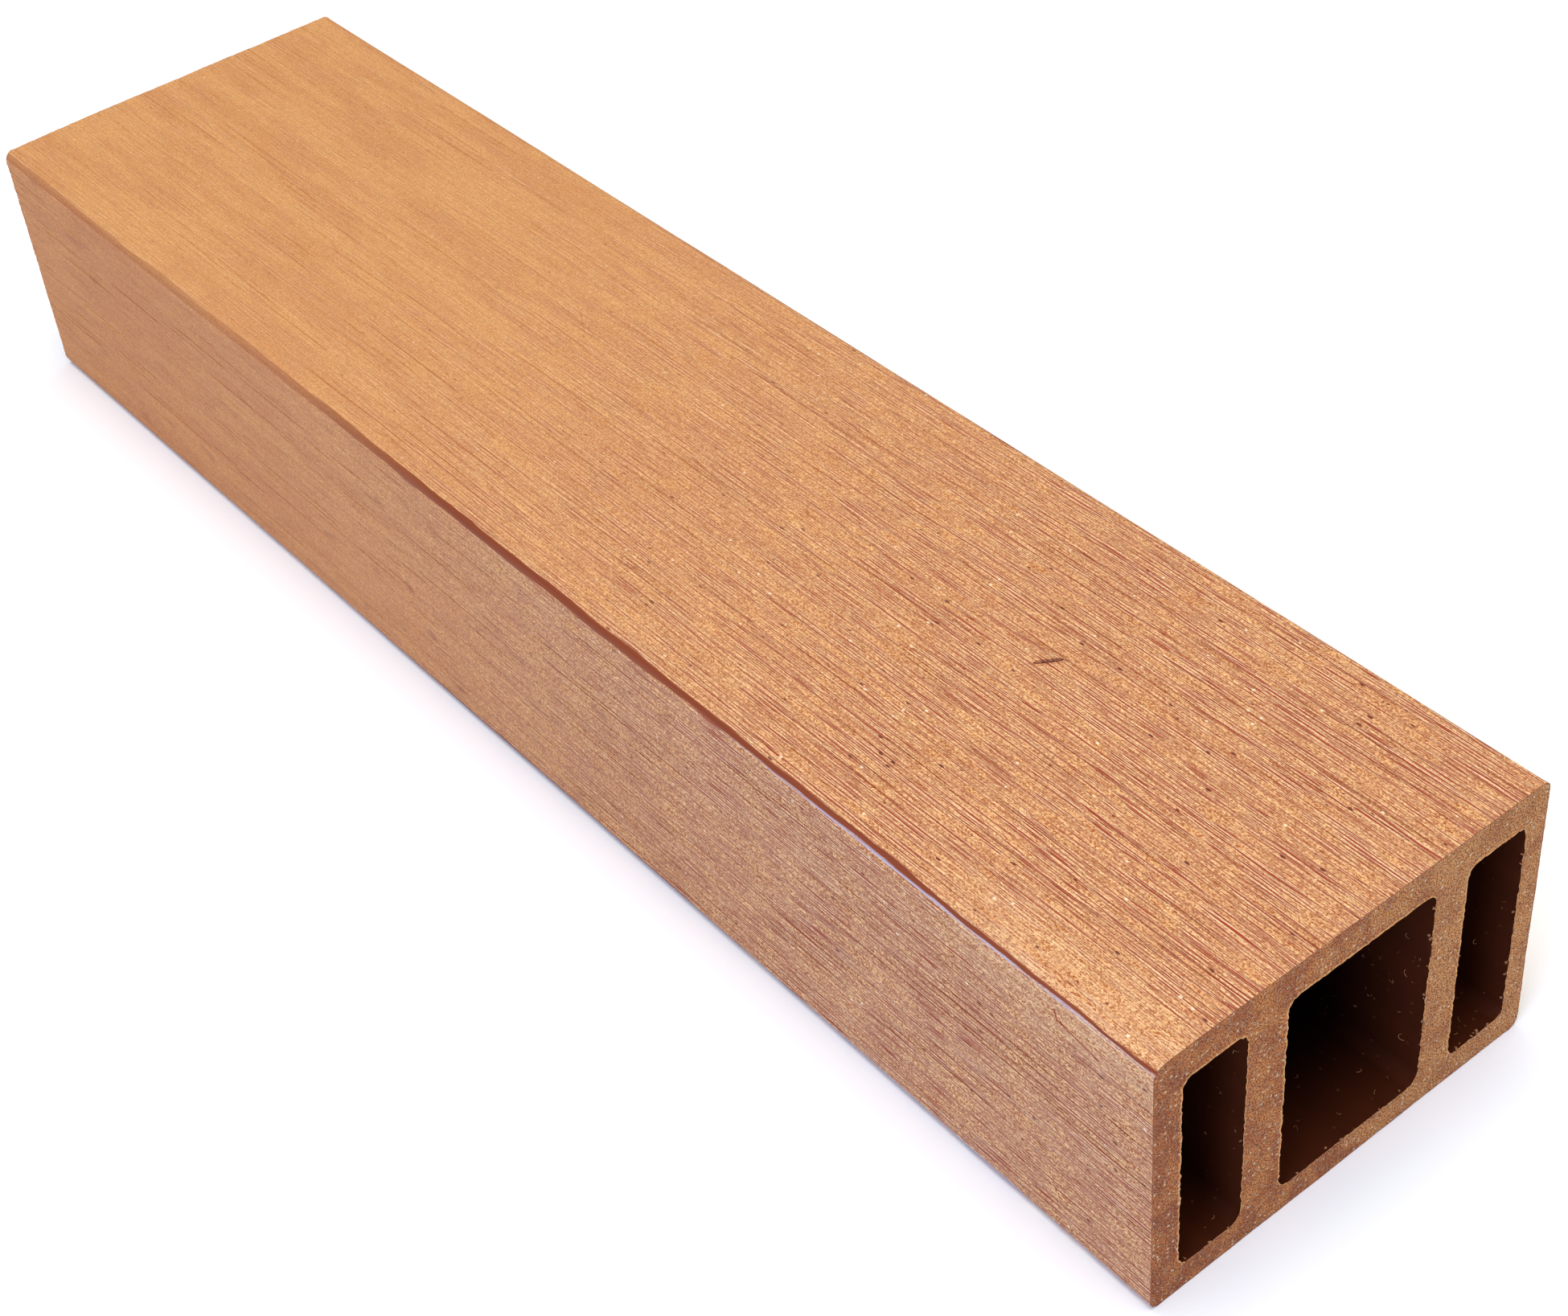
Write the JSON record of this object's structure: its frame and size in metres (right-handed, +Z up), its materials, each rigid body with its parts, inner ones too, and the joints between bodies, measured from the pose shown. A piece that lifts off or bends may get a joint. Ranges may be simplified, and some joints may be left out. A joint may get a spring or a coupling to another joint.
{
  "type": "composite timber tube",
  "caption": "Straight hollow wood-plastic composite batten with a wide centre cell between two narrow side cells, brushed faces and square sawn ends.",
  "frame": {"origin": "middle of the underside, halfway along the length", "axes": "+X along the length towards the sawn end seen in the picture, +Y across the width away from the side face seen, +Z up"},
  "size_m": [0.315, 0.075, 0.05],
  "materials": {
    "composite": "brushed warm tan wood-plastic composite, satin, with smooth red-brown long edges and sawn brown ends"
  },
  "bodies": {
    "root": {"tube": "composite"}
  },
  "joints": []
}
